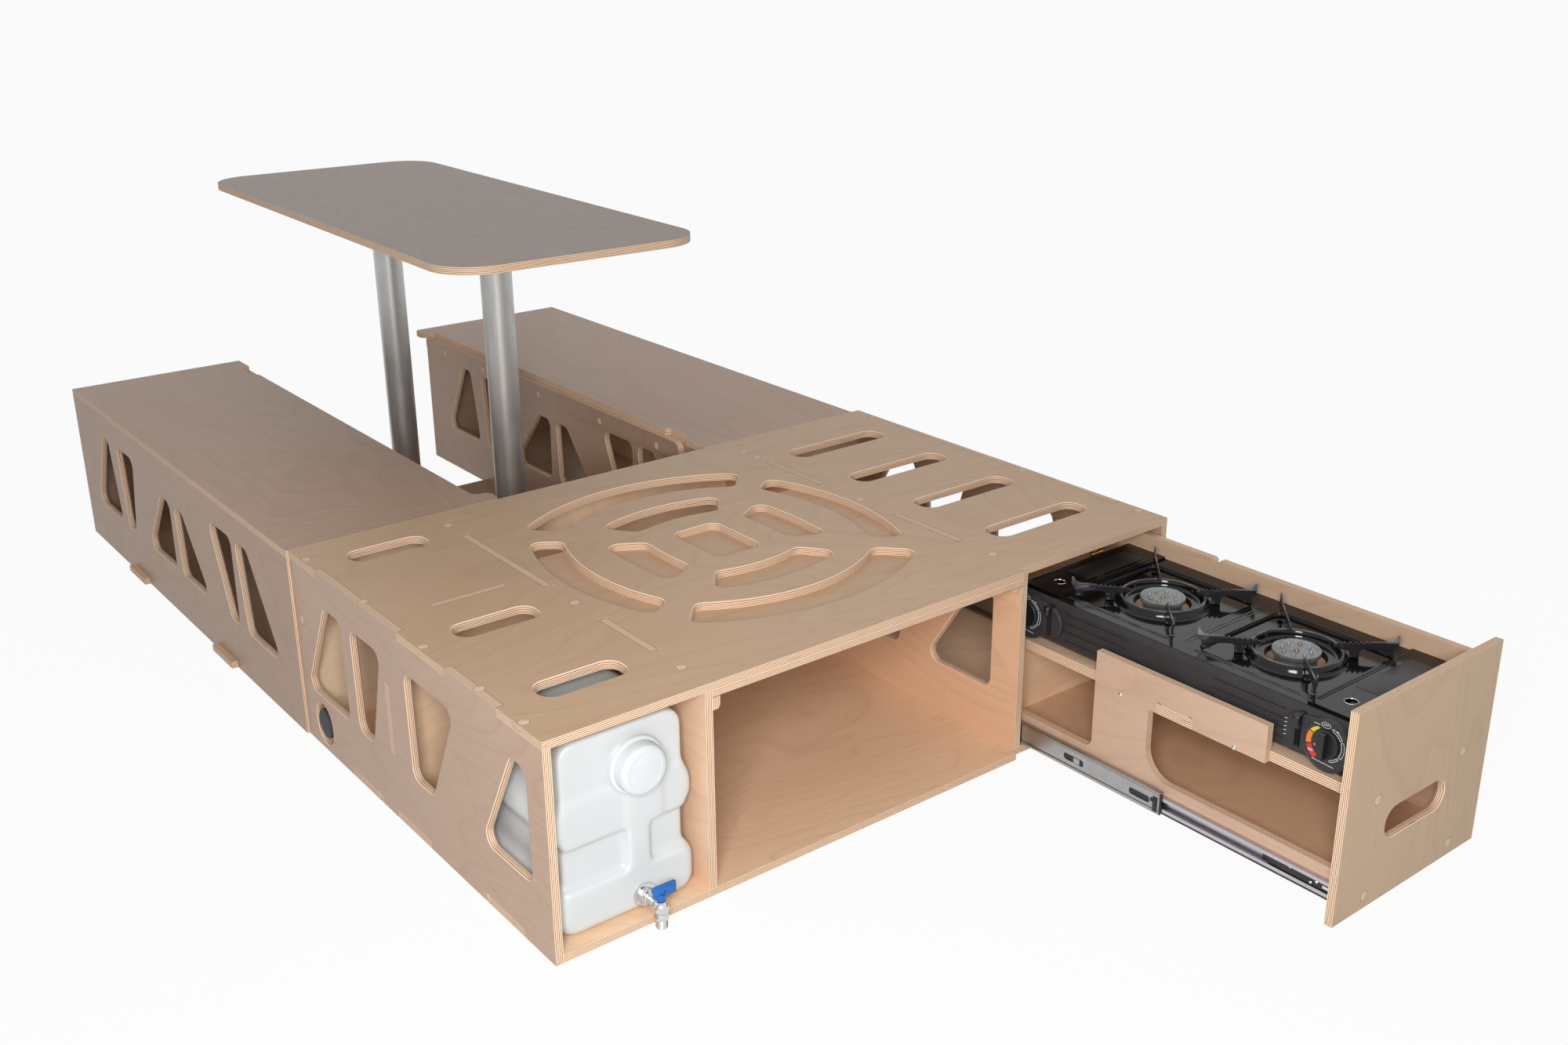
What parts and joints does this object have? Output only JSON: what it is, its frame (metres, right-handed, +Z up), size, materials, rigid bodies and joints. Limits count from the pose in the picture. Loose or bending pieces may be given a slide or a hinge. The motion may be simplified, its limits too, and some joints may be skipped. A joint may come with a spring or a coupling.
{
  "type": "camping box",
  "caption": "Plywood camping box for a van: kitchen box with stove drawer and water canister, seat boxes with lift-off lids, and a table on poles",
  "frame": {"origin": "On the ground under the middle of the part's bounding box, with the drawer drawn out.", "axes": "+X to the right along the kitchen's front, +Y back from the kitchen's front to the seats, +Z up."},
  "size_m": [1.205, 2.546, 0.733],
  "materials": {
    "plywood": "clear birch plywood with layered edges",
    "grey_plywood": "film-faced plywood with a warm grey surface",
    "steel": "zinc-plated rolled steel",
    "black_metal": "black enamelled sheet",
    "black_plastic": "black moulded plastic",
    "rubber": "black rubber",
    "cast": "cast aluminium",
    "anodised": "anodised aluminium tube",
    "can": "plain metal can",
    "brass": "brass",
    "nickel": "nickel-plated",
    "white_plastic": "milky white polyethylene",
    "blue_plastic": "blue coated lever"
  },
  "bodies": {
    "frame": {"kitchen_floor": "plywood", "kitchen_left_side": "plywood", "kitchen_right_side": "plywood", "kitchen_back": "plywood", "kitchen_top": "grey_plywood", "left_divider": "plywood", "right_divider": "plywood", "canister_bay_back": "plywood", "board_runners": "plywood", "tie_down_block": "plywood", "slide_outers": "steel", "drawer_bolt_case": "brass", "table_base_plate": "plywood", "table_base_sockets": "cast", "seat_left_outer_side": "grey_plywood", "seat_left_inner_side": "grey_plywood", "seat_left_ends": "grey_plywood", "seat_left_floor": "grey_plywood", "seat_left_ledge": "grey_plywood", "seat_right_outer_side": "grey_plywood", "seat_right_inner_side": "grey_plywood", "seat_right_ends": "grey_plywood", "seat_right_floor": "grey_plywood", "seat_right_ledge": "grey_plywood"},
    "drawer": {"drawer_front": "plywood", "drawer_left_side": "plywood", "drawer_right_side": "plywood", "drawer_back": "plywood", "drawer_floor": "plywood", "drawer_shelf": "plywood", "slide_inners": "steel", "stove_housing": "black_metal", "stove_feet": "rubber", "drip_pans": "black_metal", "pan_support_front": "black_metal", "pan_support_rear": "black_metal", "burner_heads": "cast", "gas_cartridges": "can"},
    "middle_slide_left": {"slide_middle_left": "steel"},
    "middle_slide_right": {"slide_middle_right": "steel"},
    "front_knob": {"stove_knob_front": "black_plastic"},
    "rear_knob": {"stove_knob_rear": "black_plastic"},
    "front_lever": {"ignition_lever_front": "black_plastic"},
    "rear_lever": {"ignition_lever_rear": "black_plastic"},
    "front_cartridge_lid": {"cartridge_lid_front": "black_metal"},
    "rear_cartridge_lid": {"cartridge_lid_rear": "black_metal"},
    "canister": {"canister_body": "white_plastic", "tap_body": "nickel"},
    "cap": {"canister_cap": "white_plastic"},
    "tap": {"tap_lever": "blue_plastic"},
    "left_seat_lid": {"seat_left_lid": "grey_plywood", "seat_left_lid_cleats": "plywood"},
    "right_seat_lid": {"seat_right_lid": "grey_plywood", "seat_right_lid_cleats": "plywood"},
    "poles": {"table_poles": "anodised"},
    "table": {"table_top": "grey_plywood", "table_top_sockets": "cast"},
    "board": {"stowed_board": "grey_plywood"},
    "bolt": {"drawer_bolt_pin": "brass"},
    "hand_knob": {"tie_down_knob": "rubber"}
  },
  "joints": [
    {"name": "drawer_slide", "type": "slide", "parent": "frame", "child": "drawer", "axis": [0, 1, 0], "range_m": [0, 0.5717]},
    {"name": "middle_slide_left_run", "type": "slide", "parent": "frame", "child": "middle_slide_left", "axis": [0, 1, 0], "range_m": [0, 0.286]},
    {"name": "middle_slide_right_run", "type": "slide", "parent": "frame", "child": "middle_slide_right", "axis": [0, 1, 0], "range_m": [0, 0.286]},
    {"name": "front_knob_turn", "type": "hinge", "parent": "drawer", "child": "front_knob", "pos_m": [0.2943, -1.209, 0.234], "axis": [-1, 0, 0], "range_deg": [0, 180]},
    {"name": "rear_knob_turn", "type": "hinge", "parent": "drawer", "child": "rear_knob", "pos_m": [0.2943, -0.673, 0.234], "axis": [-1, 0, 0], "range_deg": [0, 180]},
    {"name": "front_lever_press", "type": "slide", "parent": "drawer", "child": "front_lever", "axis": [0, 0, -1], "range_m": [0, 0.012], "stiffness_N_per_m": 400},
    {"name": "rear_lever_press", "type": "slide", "parent": "drawer", "child": "rear_lever", "axis": [0, 0, -1], "range_m": [0, 0.012], "stiffness_N_per_m": 400},
    {"name": "front_cartridge_lid_hinge", "type": "hinge", "parent": "drawer", "child": "front_cartridge_lid", "pos_m": [0.4343, -1.2395, 0.2718], "axis": [-1, 0, 0], "range_deg": [-80, 0]},
    {"name": "rear_cartridge_lid_hinge", "type": "hinge", "parent": "drawer", "child": "rear_cartridge_lid", "pos_m": [0.4343, -0.6425, 0.2718], "axis": [1, 0, 0], "range_deg": [-28, 0]},
    {"name": "canister_slide", "type": "slide", "parent": "frame", "child": "canister", "axis": [0, -1, 0], "range_m": [0, 0.35]},
    {"name": "cap_turn", "type": "hinge", "parent": "canister", "child": "cap", "pos_m": [-0.44516, -0.691, 0.2363], "axis": [0, -1, 0], "continuous": true},
    {"name": "tap_turn", "type": "hinge", "parent": "canister", "child": "tap", "pos_m": [-0.4388, -0.723, 0.05], "axis": [0, 0, -1], "range_deg": [0, 90]},
    {"name": "board_slide", "type": "slide", "parent": "frame", "child": "board", "axis": [0, -1, 0], "range_m": [0, 0.4]},
    {"name": "left_seat_lid_lift", "type": "slide", "parent": "frame", "child": "left_seat_lid", "axis": [0, 0, 1], "range_m": [0, 0.1]},
    {"name": "right_seat_lid_lift", "type": "slide", "parent": "frame", "child": "right_seat_lid", "axis": [0, 0, 1], "range_m": [0, 0.1]},
    {"name": "poles_lift", "type": "slide", "parent": "frame", "child": "poles", "axis": [0, 0, 1], "range_m": [0, 0.08]},
    {"name": "table_lift", "type": "slide", "parent": "poles", "child": "table", "axis": [0, 0, 1], "range_m": [0, 0.08]},
    {"name": "bolt_slide", "type": "slide", "parent": "frame", "child": "bolt", "axis": [1, 0, 0], "range_m": [0, 0.012]},
    {"name": "hand_knob_turn", "type": "hinge", "parent": "frame", "child": "hand_knob", "pos_m": [-0.5875, 0.01916, 0.047], "axis": [1, 0, 0], "continuous": true}
  ],
  "couplings": [
    {"joint": "middle_slide_left_run", "follows": "drawer_slide", "ratio": 0.5},
    {"joint": "middle_slide_right_run", "follows": "drawer_slide", "ratio": 0.5}
  ]
}
